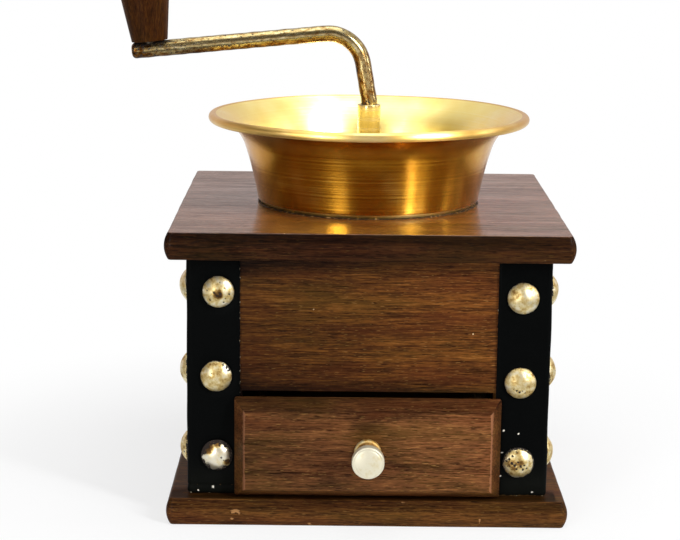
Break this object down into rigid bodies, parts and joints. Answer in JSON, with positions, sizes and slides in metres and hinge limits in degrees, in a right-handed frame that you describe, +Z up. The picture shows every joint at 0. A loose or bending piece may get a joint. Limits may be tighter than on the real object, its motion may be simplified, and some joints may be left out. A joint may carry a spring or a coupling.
{
  "type": "hand crank coffee grinder",
  "caption": "Hand crank coffee grinder: wooden case with a drawer, studded leather corner straps, flared brass hopper, bent crank with a turned knob, and a burr mill inside.",
  "frame": {"origin": "middle of the base board's underside, on the surface that the grinder stands on", "axes": "+Z up along the crank shaft, -Y to the front (the drawer side), crank arm towards -X at rest"},
  "size_m": [0.1653, 0.1543, 0.2023],
  "materials": {
    "dark_wood": "stained and varnished",
    "plain_wood": "bare",
    "strap_leather": "black, satin",
    "hopper_brass": "spun, satin",
    "worn_brass": "worn, pitted",
    "plated_rod": "worn plating on steel",
    "steel": "plain",
    "cast_iron": "as cast"
  },
  "bodies": {
    "case": {"base_board": "dark_wood", "top_board": "dark_wood", "front_panel": "dark_wood", "back_panel": "dark_wood", "side_panel_left": "dark_wood", "side_panel_right": "dark_wood", "corner_blocks": "plain_wood", "drawer_guide_left": "plain_wood", "drawer_guide_right": "plain_wood", "corner_strap_front_left": "strap_leather", "corner_strap_front_right": "strap_leather", "corner_strap_back_left": "strap_leather", "corner_strap_back_right": "strap_leather", "hopper": "hopper_brass", "bearing_tube": "hopper_brass", "bridge": "hopper_brass", "strap_studs": "worn_brass", "base_screws": "steel", "hopper_screws": "steel", "bridge_screws": "steel", "mill_screws": "steel", "bracket_screws": "steel", "upper_spring_washer": "steel", "burr_spring": "steel", "outer_burr": "cast_iron", "burr_bracket": "cast_iron"},
    "drawer": {"drawer_front": "dark_wood", "drawer_side_left": "plain_wood", "drawer_side_right": "plain_wood", "drawer_back": "plain_wood", "drawer_bottom": "plain_wood", "drawer_knob": "worn_brass", "drawer_knob_screw": "steel"},
    "lift": {"thrust_ball": "steel"},
    "adjuster": {"adjusting_screw": "steel"},
    "crank": {"crank_rod": "plated_rod", "inner_burr": "cast_iron", "drive_pin": "steel", "lower_spring_washer": "steel", "knob_pin": "steel"},
    "knob": {"crank_knob": "dark_wood"}
  },
  "joints": [
    {"name": "drawer_slide", "type": "slide", "parent": "case", "child": "drawer", "axis": [0, -1, 0], "range_m": [0, 0.085]},
    {"name": "burr_lift", "type": "slide", "parent": "case", "child": "lift", "axis": [0, 0, 1], "range_m": [0, 0.0008], "deforming": ["burr_spring"]},
    {"name": "adjuster_turn", "type": "hinge", "parent": "lift", "child": "adjuster", "pos_m": [0, 0, 0.06], "axis": [0, 0, 1], "range_deg": [0, 288]},
    {"name": "crank_turn", "type": "hinge", "parent": "lift", "child": "crank", "pos_m": [0, 0, 0.12], "axis": [0, 0, 1], "continuous": true},
    {"name": "knob_spin", "type": "hinge", "parent": "crank", "child": "knob", "pos_m": [-0.0804, 0, 0.15893], "axis": [-0.0993, 0, 0.9951], "continuous": true}
  ],
  "couplings": [
    {"joint": "adjuster_turn", "follows": "burr_lift", "rad_per_m": 6283.2}
  ]
}
